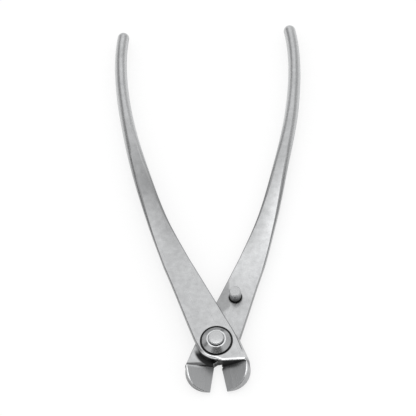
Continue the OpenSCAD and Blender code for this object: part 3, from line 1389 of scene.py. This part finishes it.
def new_metal(name: str) -> tuple[bpy.types.Material, Tree, bpy.types.Node]:
    """Start a bare metal: its material, its tree and its shader, with the default IOR."""
    material = bpy.data.materials.new(name)
    material.use_nodes = True
    shader = material.node_tree.nodes["Principled BSDF"]
    shader.inputs["Metallic"].default_value = 1.0
    return material, material.node_tree, shader


def feed(shader: bpy.types.Node, tone: Socket, rough: Socket, relief: Socket) -> None:
    """Link a metal's colour, roughness and relief to its shader."""
    for name, socket in (("Base Color", tone), ("Roughness", rough), ("Normal", relief)):
        shader.id_data.links.new(socket, shader.inputs[name])


# Tone of each handle by distance along it from the plate's end, in millimetres. The two ends of
# the range come first, because every ramp starts with two stops.
FRONT_TONES = (
    (-40.0, 0.93),
    (160.0, 1.0),
    (-5.0, 0.91),
    (12.0, 0.88),
    (30.5, 0.8),
    (48.0, 0.6),
    (64.0, 0.7),
    (92.0, 0.92),
)
REAR_TONES = (
    (-40.0, 0.9),
    (160.0, 1.0),
    (-20.0, 0.97),
    (-5.0, 1.14),
    (30.5, 1.18),
    (45.0, 1.08),
    (60.0, 0.86),
    (74.0, 0.9),
    (92.0, 0.94),
)


@dataclass(frozen=True)
class BlastedSteel:
    """Stainless steel, forged, ground to shape and blasted with fine glass beads.

    The eye sees an even light grey satin with a fine grain, hardly any streaks, and soft
    broad reflections. The pattern of the beads, about 0.05 mm, is drawn at 0.7 mm so that it
    shows, and the strokes of the grinding belt along the handle stay faintly under it.
    Spans are in millimetres: along the handle from the plate's end, or in the tool's frame.
    """

    name: str
    tones: tuple[Pair, ...]
    across: float
    wall_shade_from: float
    lap_shade: float
    jaw_side_shade: float = 0.85
    beside_front_shade: float = 0.0
    colour: str = "#CFD0D1"
    dark: str = "#BDBEBF"
    side_shade_share: float = 0.45
    painted_shade_share: float = 0.95
    corner_shade: float = 0.8
    roughness: float = 0.29
    grit_mm: float = 0.7
    rub_mm: float = 2.6
    cloud_mm: float = 14.0
    stroke_mm: tuple[float, float, float] = (0.5, 18.0, 0.5)
    handle_mm: Pair = (-40.0, 160.0)
    tone_range: Pair = (0.4, 1.3)
    across_rise: Pair = (-5.0, 25.0)
    across_fall: Pair = (70.0, 45.0)
    upright_z: Pair = (0.5, 0.15)
    side_shade_fade: Pair = (70.0, 30.0)
    side_shade_far: float = 0.45
    jaw_run: Pair = (-54.0, -50.0)
    seat_shade_r: Pair = (7.9, 7.6)
    pin_shade_r: Pair = (3.5, 3.0)
    lap_shade_at: tuple[float, float, float] = (0.8, -0.8, 0.0)
    lap_shade_r: Pair = (12.2, 11.0)
    lap_shade_y: Pair = (-1.0, -5.0)
    corner_shade_y: Pair = (-8.2, -9.2)
    lap_z: float = 5.8
    lap_z_slack: float = 0.25
    wall_normal_y: Pair = (-0.45, -0.75)
    wall_fade: float = 3.0
    wall_least_y: float = -11.0
    beside_front_x: Pair = (7.5, 6.3)
    beside_front_way: tuple[float, float, float] = (-0.9, 1.0, 0.0)
    beside_front_run: Pair = (12.0, 15.0)

    def along_handle(self, tree: Tree, grain: Socket) -> Socket:
        """Slow change of tone along and across the handle.

        Args:
            tree: Tree of the material.
            grain: Place on the lever: across, along and up from the plate's end.

        Returns:
            Socket that carries the share of the colour.
        """
        parts = axes(tree, grain)
        start, end = self.handle_mm
        low, high = self.tone_range
        run = ramp(tree, parts["Y"], self.handle_mm, kind=Ramp.STRAIGHT)
        curve = add_node(tree, "ShaderNodeValToRGB", inputs={"Fac": run})
        stops = curve.color_ramp.elements
        for i, (place, tone) in enumerate(self.tones):
            at, level = (place - start) / (end - start), (tone - low) / (high - low)
            stop = stops[i] if i < 2 else stops.new(at)
            stop.position = at
            stop.color = (level, level, level, 1)
        tone = ramp(tree, curve.outputs[0], levels=self.tone_range, kind=Ramp.STRAIGHT)
        rise = ramp(tree, parts["Y"], self.across_rise, (0.0, self.across))
        fall = ramp(tree, parts["Y"], self.across_fall)
        side = calculate(tree, "MULTIPLY_ADD", parts["X"], product(tree, rise, fall), 1.0)
        return product(tree, tone, side)

    def shaded_sides(self, tree: Tree, grain: Socket, normal: Socket) -> Socket:
        """Painted shade on the upright sides of the plate, the jaw and the handle, lighter far along the
        handle.

        Args:
            tree: Tree of the material.
            grain: Place on the lever: across, along and up from the plate's end.
            normal: Direction in which the surface looks.

        Returns:
            Socket that carries the share of the colour.
        """
        steep = calculate(tree, "ABSOLUTE", axes(tree, normal)["Z"])
        upright = ramp(tree, steep, self.upright_z)
        run = axes(tree, grain)["Y"]
        plate = ramp(tree, run, self.side_shade_fade, (self.side_shade_far, 1.0))
        deep = ramp(tree, run, self.jaw_run, (1 - self.jaw_side_shade, 1 - self.side_shade_share))
        return calculate(tree, "SUBTRACT", 1.0, product(tree, upright, product(tree, plate, deep)))

    def painted_shade(self, tree: Tree, where: Socket, normal: Socket) -> Socket:
        """Painted shade round the washer's seat and the pin's foot, under the boss, in the corner by the
        wall, on the walls that face towards the jaws' tips and beside the front lever.

        Args:
            tree: Tree of the material.
            where: Place in the tool's frame, in millimetres.
            normal: Direction in which the surface looks.

        Returns:
            Socket that carries the share of the colour.
        """
        parts, flat = axes(tree, where), flattened(tree, where)
        pin = ((PIN_LOW + PIN_HIGH) / 2).to_tuple()[:2]
        # Painted shade in the washer's seat, round the pin's foot, under the boss and in the corner by the
        # wall.
        seat = ramp(tree, measure(tree, "LENGTH", flat), self.seat_shade_r)
        from_pin = measure(tree, "DISTANCE", flat, (*pin, 0.0))
        foot = ramp(tree, from_pin, self.pin_shade_r, (0.0, self.lap_shade))
        under = ramp(tree, measure(tree, "DISTANCE", flat, self.lap_shade_at), self.lap_shade_r)
        corner = ramp(tree, parts["Y"], self.corner_shade_y, (0.0, self.corner_shade))
        low = ramp(tree, parts["Y"], self.lap_shade_y, (0.0, self.lap_shade))
        level = calculate(tree, "COMPARE", parts["Z"], self.lap_z, self.lap_z_slack)
        lap = product(tree, largest(tree, under, corner), low, level)
        # Painted shade on the walls that face towards the jaws' tips.
        facing = ramp(tree, axes(tree, normal)["Y"], self.wall_normal_y)
        inner = ramp(tree, parts["X"], (self.wall_shade_from, self.wall_shade_from + self.wall_fade))
        above = calculate(tree, "GREATER_THAN", parts["Y"], self.wall_least_y)
        most = largest(tree, seat, foot, lap, product(tree, facing, inner, above))
        left = ramp(tree, most, levels=(1.0, 1 - self.painted_shade_share), kind=Ramp.STRAIGHT)
        # Painted shade on the rear lever beside the front lever's edge.
        near = ramp(tree, parts["X"], self.beside_front_x, (0.0, self.beside_front_shade))
        beyond = ramp(tree, measure(tree, "DOT_PRODUCT", where, self.beside_front_way), self.beside_front_run)
        unshaded = calculate(tree, "SUBTRACT", 1.0, product(tree, near, beyond))
        return product(tree, left, unshaded)

    def make(self) -> bpy.types.Material:
        """Build the material.

        Returns:
            The finished material.
        """
        material, tree, shader = new_metal(self.name)
        coords = add_node(tree, "ShaderNodeTexCoord").outputs
        place, normal = coords["Object"], coords["Normal"]
        grain = add_node(tree, "ShaderNodeAttribute", {"attribute_name": "grain"}).outputs["Vector"]
        stroke = strokes(tree, grain, self.stroke_mm, 3.0)
        cloud = noise(tree, place, 1 / (self.cloud_mm * MM), 4.0)
        grit = noise(tree, place, 1 / (self.grit_mm * MM), 2.0)
        rubs = noise(tree, place, 1 / (self.rub_mm * MM), 5.0)
        mottle = ramp(tree, rubs, NOISE_BAND, (0.9, 1.08), Ramp.STRAIGHT)
        speck = ramp(tree, grit, NOISE_BAND, (0.94, 1.05), Ramp.STRAIGHT)
        tone = scaled(tree, blend(tree, cloud, self.dark, self.colour), product(tree, mottle, speck))
        painted_shade = self.painted_shade(tree, scaled(tree, place, 1 / MM), normal)
        # The tone is multiplied by painted shade on the sides, the walls and the hollows.
        tone_and_painted_shade = product(tree, self.along_handle(tree, grain), self.shaded_sides(tree, grain, normal), painted_shade)
        least, most = self.roughness - 0.02, self.roughness + 0.05
        rough = ramp(tree, stroke, NOISE_BAND, (least, most), Ramp.STRAIGHT)
        lay = bump(tree, stroke, 0.06, 0.00006)
        feed(shader, scaled(tree, tone, tone_and_painted_shade), rough, bump(tree, grit, 0.2, 0.00003, lay))
        return material


@dataclass(frozen=True)
class PolishedEdge:
    """The same stainless steel where edges were broken with a fine belt and have been handled.

    The eye sees a thin bright line along the edges of the boss and the jaws, partly the polish and
    partly a painted highlight, and painted shade makes it duller at their tips. Along the handles
    painted shade makes the edges darker than the flats. Spans are places along the tool, in
    millimetres from the pivot.
    """

    name: str = "stainless_steel_polished_edge"
    colour: str = "#E2E3E4"
    roughness: float = 0.22
    nick_mm: float = 1.2
    nick_band: Pair = (0.35, 0.65)
    shaded_plate_share: float = 0.36
    shaded_tip_share: float = 0.5
    shaded_rod_share: float = 0.72
    head_y: Pair = (-3, -7)
    tip_y: Pair = (-15, -19)
    rod_y: Pair = (75, 125)

    def wear(self, tree: Tree, place: Socket) -> Socket:
        """Share of the polished colour by place along the tool: a painted highlight on the head's edges,
        with painted shade at the jaws' tips and along the handles.

        Args:
            tree: Tree of the material.
            place: Place in the tool's frame, in metres.

        Returns:
            Socket that carries the share.
        """
        height = axes(tree, place)["Y"]
        head, tip, rod = (tuple(y * MM for y in span) for span in (self.head_y, self.tip_y, self.rod_y))
        # Painted highlight on the head's edges, dimmed by painted shade at the jaws' tips, and painted
        # shade along the handles.
        polished_and_lit = product(tree, ramp(tree, height, head), ramp(tree, height, tip, (1.0, self.shaded_tip_share)))
        return largest(tree, polished_and_lit, ramp(tree, height, rod, (self.shaded_plate_share, self.shaded_rod_share)))

    def make(self) -> bpy.types.Material:
        """Build the material.

        Returns:
            The finished material.
        """
        material, tree, shader = new_metal(self.name)
        place = add_node(tree, "ShaderNodeTexCoord").outputs["Object"]
        nicks = noise(tree, place, 1 / (self.nick_mm * MM), 3.0)
        levels = (self.roughness, self.roughness + 0.1)
        rough = ramp(tree, nicks, self.nick_band, levels, Ramp.STRAIGHT)
        tone = scaled(tree, linear(self.colour)[:3], self.wear(tree, place))
        feed(shader, tone, rough, bump(tree, nicks, 0.2, 0.00002))
        return material


@dataclass(frozen=True)
class GroundSteel:
    """The jaw's bevel, ground with a fine wheel along the cutting edge.

    The eye sees a darker, smoother flat with faint straight strokes. The strokes, about
    0.05 mm wide, are drawn 0.3 mm wide so that they show. Along the wall painted shade lies on
    the front jaw's bevel, and on the rear one a painted highlight runs as a bright line. Spans
    are in the tool's frame, in millimetres.
    """

    name: str = "stainless_steel_wheel_ground"
    colour: str = "#B9BABB"
    dark: str = "#A9AAAB"
    roughness: float = 0.3
    painted_shade_share: float = 0.6
    painted_shade_y: Pair = (-12.6, -10.6)
    painted_shade_x: Pair = (13, 8)
    painted_highlight_share: float = 0.5
    painted_highlight_y: Pair = (-11.5, -10.7)
    painted_highlight_x: Pair = (-4, -9)
    stroke_mm: tuple[float, float, float] = (0.3, 9.0, 3.0)

    def make(self) -> bpy.types.Material:
        """Build the material.

        Returns:
            The finished material.
        """
        material, tree, shader = new_metal(self.name)
        ground = add_node(tree, "ShaderNodeAttribute", {"attribute_name": "ground"}).outputs["Vector"]
        stroke = strokes(tree, ground, self.stroke_mm, 4.0)
        spread = ramp(tree, stroke, NOISE_BAND, kind=Ramp.STRAIGHT)
        levels = (self.roughness + 0.06, self.roughness - 0.04)
        rough = ramp(tree, spread, levels=levels, kind=Ramp.STRAIGHT)
        parts = axes(tree, add_node(tree, "ShaderNodeTexCoord").outputs["Object"])
        spans = (self.painted_shade_y, self.painted_shade_x, self.painted_highlight_y, self.painted_highlight_x)
        painted_shade_y, painted_shade_x, painted_highlight_y, painted_highlight_x = (tuple(v * MM for v in span) for span in spans)
        # Painted shade on the front jaw's bevel along the ledge wall.
        near = ramp(tree, parts["Y"], painted_shade_y, (0.0, self.painted_shade_share))
        inner = ramp(tree, parts["X"], painted_shade_x)
        front = calculate(tree, "GREATER_THAN", parts["X"], 0.0)
        unshaded = calculate(tree, "SUBTRACT", 1.0, product(tree, near, inner, front))
        # Painted highlight: a bright line along the top of the rear jaw's bevel.
        rim = ramp(tree, parts["Y"], painted_highlight_y, (0.0, self.painted_highlight_share))
        outer = ramp(tree, parts["X"], painted_highlight_x)
        share = product(tree, unshaded, calculate(tree, "MULTIPLY_ADD", rim, outer, 1.0))
        tone = scaled(tree, blend(tree, spread, self.dark, self.colour), share)
        feed(shader, tone, rough, bump(tree, stroke, 0.12, 0.00004))
        return material


@dataclass(frozen=True)
class TurnedSteel:
    """Stainless steel turned on a lathe: rivet, washers and pin.

    The eye sees rings about the axis of the piece. The feed of the tool, about 0.08 mm, is
    drawn 0.25 mm wide so that it shows. The two spans are heights in millimetres: painted shade,
    darker towards the bottom, ends over the first, and the brighter lip starts over the second.
    """

    name: str
    colour: str
    roughness: float
    axis_mm: Pair = (0.0, 0.0)
    shade_mm: Pair = (-2.0, -1.0)
    bright_mm: Pair = (20.0, 21.0)
    bright: float = 1.55
    shade_left: float = 0.12
    ring_mm: float = 0.25
    wear_scale: float = 600.0
    depth: float = 0.1

    def make(self) -> bpy.types.Material:
        """Build the material.

        Returns:
            The finished material.
        """
        material, tree, shader = new_metal(self.name)
        place = add_node(tree, "ShaderNodeTexCoord").outputs["Object"]
        move = {"Vector": place, "Location": (-self.axis_mm[0] * MM, -self.axis_mm[1] * MM, 0)}
        centred = add_node(tree, "ShaderNodeMapping", inputs=move).outputs[0]
        reach = measure(tree, "LENGTH", flattened(tree, centred))
        inputs = {"W": reach, "Scale": 1 / (self.ring_mm * MM), "Detail": 2.0}
        rings = add_node(tree, "ShaderNodeTexNoise", {"noise_dimensions": "1D"}, inputs).outputs["Fac"]
        wear = noise(tree, place, self.wear_scale, 4.0)
        levels = (self.roughness - 0.04, self.roughness + 0.06)
        rough = ramp(tree, wear, NOISE_BAND, levels, Ramp.STRAIGHT)
        height = axes(tree, place)["Z"]
        dark, bright = (tuple(z * MM for z in span) for span in (self.shade_mm, self.bright_mm))
        # Painted shade: the piece is darker below the first span, at its foot and in the recess.
        painted_shade = ramp(tree, height, dark, (self.shade_left, 1.0))
        lip = ramp(tree, height, bright, (1.0, self.bright))
        tone = scaled(tree, linear(self.colour)[:3], product(tree, painted_shade, lip))
        feed(shader, tone, rough, bump(tree, rings, self.depth, 0.00004))
        return material


# ---------------------------------------------------------------- studio


@dataclass(frozen=True)
class Card:
    """A grey card beside the table that only the metal sees, in the direction it stands in."""

    name: str
    way: tuple[float, float, float]
    width: float
    height: float
    tone: float
    distance: float = 1.0


@dataclass
class Studio:
    """Pale table, soft lamp, white room, a dark curtain round the table and grey cards."""

    floor_size: float = 12.0
    lamp_way: tuple[float, float, float] = (0.0, -0.12, 1.0)
    lamp_size: float = 0.55
    lamp_radiance: float = 1.3
    lamp_distance: float = 0.9
    room: float = 1.0
    glow_shares: tuple[float, float] = (0.7, 0.35)
    curtain_radius: float = 1.3
    curtain_top: float = 1.5
    curtain_dark: float = 0.8
    cards: tuple[Card, ...] = (
        Card("card_left", (-0.91, 0.05, 0.41), 0.35, 0.3, 0.15),
        Card("card_front", (0.0, -0.64, 0.77), 1.1, 0.63, 0.05),
        Card("card_far_left", (-0.62, 0.52, 0.54), 0.6, 0.62, 0.36),
        Card("card_far_right", (0.62, 0.52, 0.56), 0.6, 0.58, 0.55),
    )
    laminate: str = "#F8F8F8"
    floor_drop: float = 0.0002
    lamp_shift: float = 0.08
    target: tuple[float, float, float] = (-2.07207, 75.18639, 5.8)
    azimuth: float = 3.44811225
    elevation: float = 58.5
    roll: float = -5.87949
    distance: float = 850.0
    lens: float = 149.62

    @staticmethod
    def seen_directly(tree: bpy.types.NodeTree) -> bpy.types.NodeSocket:
        """Tell what is looked at from what only lights other things.

        Args:
            tree: Tree of a material or of the world.

        Returns:
            Socket that is 1 for what the camera, metal or glass sees, and 0 for the light on things.
        """
        path = add_node(tree, "ShaderNodeLightPath").outputs
        seen = calculate(tree, "ADD", path["Is Camera Ray"], path["Is Glossy Ray"])
        inputs = {0: seen, 1: path["Is Transmission Ray"]}
        settings = {"operation": "ADD", "use_clamp": True}
        return add_node(tree, "ShaderNodeMath", settings, inputs).outputs[0]

    def fill_room(self) -> None:
        """Make the world white where it is seen, and a little dimmer as a light."""
        world = bpy.data.worlds.new("white_room")
        bpy.context.scene.world = world
        world.use_nodes = True
        tree = world.node_tree
        level = ramp(tree, self.seen_directly(tree), levels=(self.room, 1.0), kind=Ramp.STRAIGHT)
        sky = tree.nodes["Background"]
        sky.inputs["Color"].default_value = (1, 1, 1, 1)
        tree.links.new(level, sky.inputs["Strength"])

    def lay_floor(self) -> None:
        """Lay the pale table top, which shows white and keeps a soft shadow."""
        deselect_all()
        bpy.ops.mesh.primitive_plane_add(size=self.floor_size, location=(0, 0, -self.floor_drop))
        floor = bpy.context.object
        floor.name = "table_top"
        make_active(floor)
        bpy.ops.object.transform_apply(location=True, rotation=True, scale=True)
        material = bpy.data.materials.new("matt_white_laminate")
        material.use_nodes = True
        tree = material.node_tree
        shader = tree.nodes["Principled BSDF"]
        shader.inputs["Base Color"].default_value = linear(self.laminate)
        shader.inputs["Roughness"].default_value = 0.9
        glow = add_node(tree, "ShaderNodeEmission", inputs={"Color": (1, 1, 1, 1), "Strength": 1.0})
        path = add_node(tree, "ShaderNodeLightPath").outputs
        to_camera, to_metal = self.glow_shares
        extra = calculate(tree, "MULTIPLY_ADD", path["Is Camera Ray"], to_camera - to_metal, 0.0)
        glow_share = calculate(tree, "MULTIPLY_ADD", self.seen_directly(tree), to_metal, extra)
        layers = {0: glow_share, 1: shader.outputs[0], 2: glow.outputs[0]}
        laminate = add_node(tree, "ShaderNodeMixShader", inputs=layers)
        tree.links.new(laminate.outputs[0], tree.nodes["Material Output"].inputs["Surface"])
        floor.data.materials.append(material)

    @staticmethod
    def only_for_metal(thing: bpy.types.Object) -> None:
        """Hide a stage piece from all but reflections."""
        thing.visible_camera = False
        thing.visible_diffuse = False
        thing.visible_shadow = False
        thing.visible_transmission = False

    def hang_curtain(self) -> None:
        """Hang a round curtain about the table, dark at the table and paler towards its top."""
        deselect_all()
        bpy.ops.mesh.primitive_cylinder_add(
            vertices=96,
            radius=self.curtain_radius,
            depth=self.curtain_top,
            end_fill_type="NOTHING",
            location=(0, 0, self.curtain_top / 2),
        )
        curtain = bpy.context.object
        curtain.name = "curtain"
        make_active(curtain)
        bpy.ops.object.transform_apply(location=True, rotation=True, scale=True)
        material = bpy.data.materials.new("grey_cotton_curtain")
        material.use_nodes = True
        tree = material.node_tree
        height = axes(tree, add_node(tree, "ShaderNodeTexCoord").outputs["Object"])["Z"]
        level = ramp(tree, height, (0.0, self.curtain_top), (self.curtain_dark, 1.0), Ramp.SOFT)
        tone = add_node(tree, "ShaderNodeEmission", inputs={"Strength": level})
        tree.links.new(tone.outputs[0], tree.nodes["Material Output"].inputs["Surface"])
        curtain.data.materials.append(material)
        self.only_for_metal(curtain)

    def hang_card(self, card: Card) -> None:
        """Stand one grey card beside the table, seen by the metal alone.

        Args:
            card: Its size, its tone and the direction in which it stands.
        """
        way = Vector(card.way).normalized()
        deselect_all()
        bpy.ops.mesh.primitive_plane_add(size=1, location=way * card.distance)
        board = bpy.context.object
        board.name = card.name
        board.scale = (card.width, card.height, 1)
        board.rotation_euler = way.to_track_quat("Z", "Y").to_euler()
        make_active(board)
        bpy.ops.object.transform_apply(location=True, rotation=True, scale=True)
        material = bpy.data.materials.new(f"grey_{card.name}")
        material.use_nodes = True
        tree = material.node_tree
        tone = add_node(tree, "ShaderNodeEmission", inputs={"Color": (1, 1, 1, 1), "Strength": card.tone})
        tree.links.new(tone.outputs[0], tree.nodes["Material Output"].inputs["Surface"])
        board.data.materials.append(material)
        self.only_for_metal(board)

    def hang_lamp(self) -> None:
        """Hang the large soft lamp over the far side of the table."""
        way = Vector(self.lamp_way).normalized()
        light = bpy.data.lights.new("soft_lamp", "AREA")
        light.shape = "SQUARE"
        light.size = self.lamp_size
        # A square lamp sends out pi times its radiance for each square metre of its face.
        light.energy = math.pi * self.lamp_radiance * self.lamp_size**2
        lamp = bpy.data.objects.new("soft_lamp", light)
        bpy.context.collection.objects.link(lamp)
        lamp.location = way * self.lamp_distance + Vector((0, self.lamp_shift, 0))
        lamp.rotation_euler = way.to_track_quat("Z", "Y").to_euler()

    def place_camera(self) -> None:
        """Put the camera at its place, looking down along the tool."""
        swing, rise = math.radians(self.azimuth), math.radians(self.elevation)
        level = math.cos(rise)
        back = Vector((math.sin(swing) * level, -math.cos(swing) * level, math.sin(rise)))
        lens = bpy.data.cameras.new("camera")
        lens.lens = self.lens
        lens.sensor_width = 36
        lens.clip_end = 50
        camera = bpy.data.objects.new("camera", lens)
        bpy.context.collection.objects.link(camera)
        camera.location = (Vector(self.target) + back * self.distance) * MM
        turn = (-back).to_track_quat("-Z", "Y") @ Quaternion((0, 0, 1), math.radians(self.roll))
        camera.rotation_euler = turn.to_euler()
        bpy.context.scene.camera = camera

    def build(self) -> None:
        """Set up the table, the light and the camera."""
        self.fill_room()
        self.lay_floor()
        self.hang_curtain()
        for card in self.cards:
            self.hang_card(card)
        self.hang_lamp()
        self.place_camera()
        bpy.context.scene.view_settings.view_transform = "Standard"


# ---------------------------------------------------------------- the whole tool


def report(piece: bpy.types.Object) -> None:
    """Log one finished piece."""
    LOG.info("%s: %d faces", piece.name, len(piece.data.polygons))


def main() -> None:
    """Build the levers, the pivot, the pin and the studio in order."""
    logging.basicConfig(level=logging.INFO, format="%(name)s: %(message)s")
    edge, ground = PolishedEdge().make(), GroundSteel().make()
    # Both levers carry painted shade on their sides, walls and hollows, and the rear one also has it beside
    # the front lever's edge.
    rear = BlastedSteel(
        "stainless_steel_bead_blasted_rear",
        REAR_TONES,
        across=0.06,
        wall_shade_from=-11.0,
        lap_shade=1.0,
        jaw_side_shade=0.4,
        beside_front_shade=0.35,
    )
    front = BlastedSteel(
        "stainless_steel_bead_blasted_front",
        FRONT_TONES,
        across=0.04,
        wall_shade_from=-5.0,
        lap_shade=0.0,
        jaw_side_shade=0.7,
    )
    rows = ((Place.REAR, rear, REAR_LINE), (Place.FRONT, front, HandleLine()))
    for place, blasted, line in rows:
        report(Lever(place, line=line).build([blasted.make(), edge, ground]))
    # Each turned piece carries painted shade below its first span of heights.
    rivet = TurnedSteel("stainless_steel_turned_polished", "#C2C3C4", 0.24, shade_mm=(11.8, 12.7))
    washer = TurnedSteel(
        "stainless_steel_turned_satin",
        "#AFB0B1",
        0.26,
        shade_mm=(9.6, 10.0),
        bright_mm=(11.85, 12.05),
        bright=1.9,
    )
    for piece in Pivot().build(rivet.make(), washer.make()):
        report(piece)
    pin_at = (PIN_LOW + PIN_HIGH) / 2
    pin = TurnedSteel("stainless_steel_turned_pin", "#BEBFC0", 0.26, (pin_at.x, pin_at.y), (6.6, 11.6))
    report(StopPin().build(pin.make()))
    Studio().build()


if __name__ == "__main__":
    main()
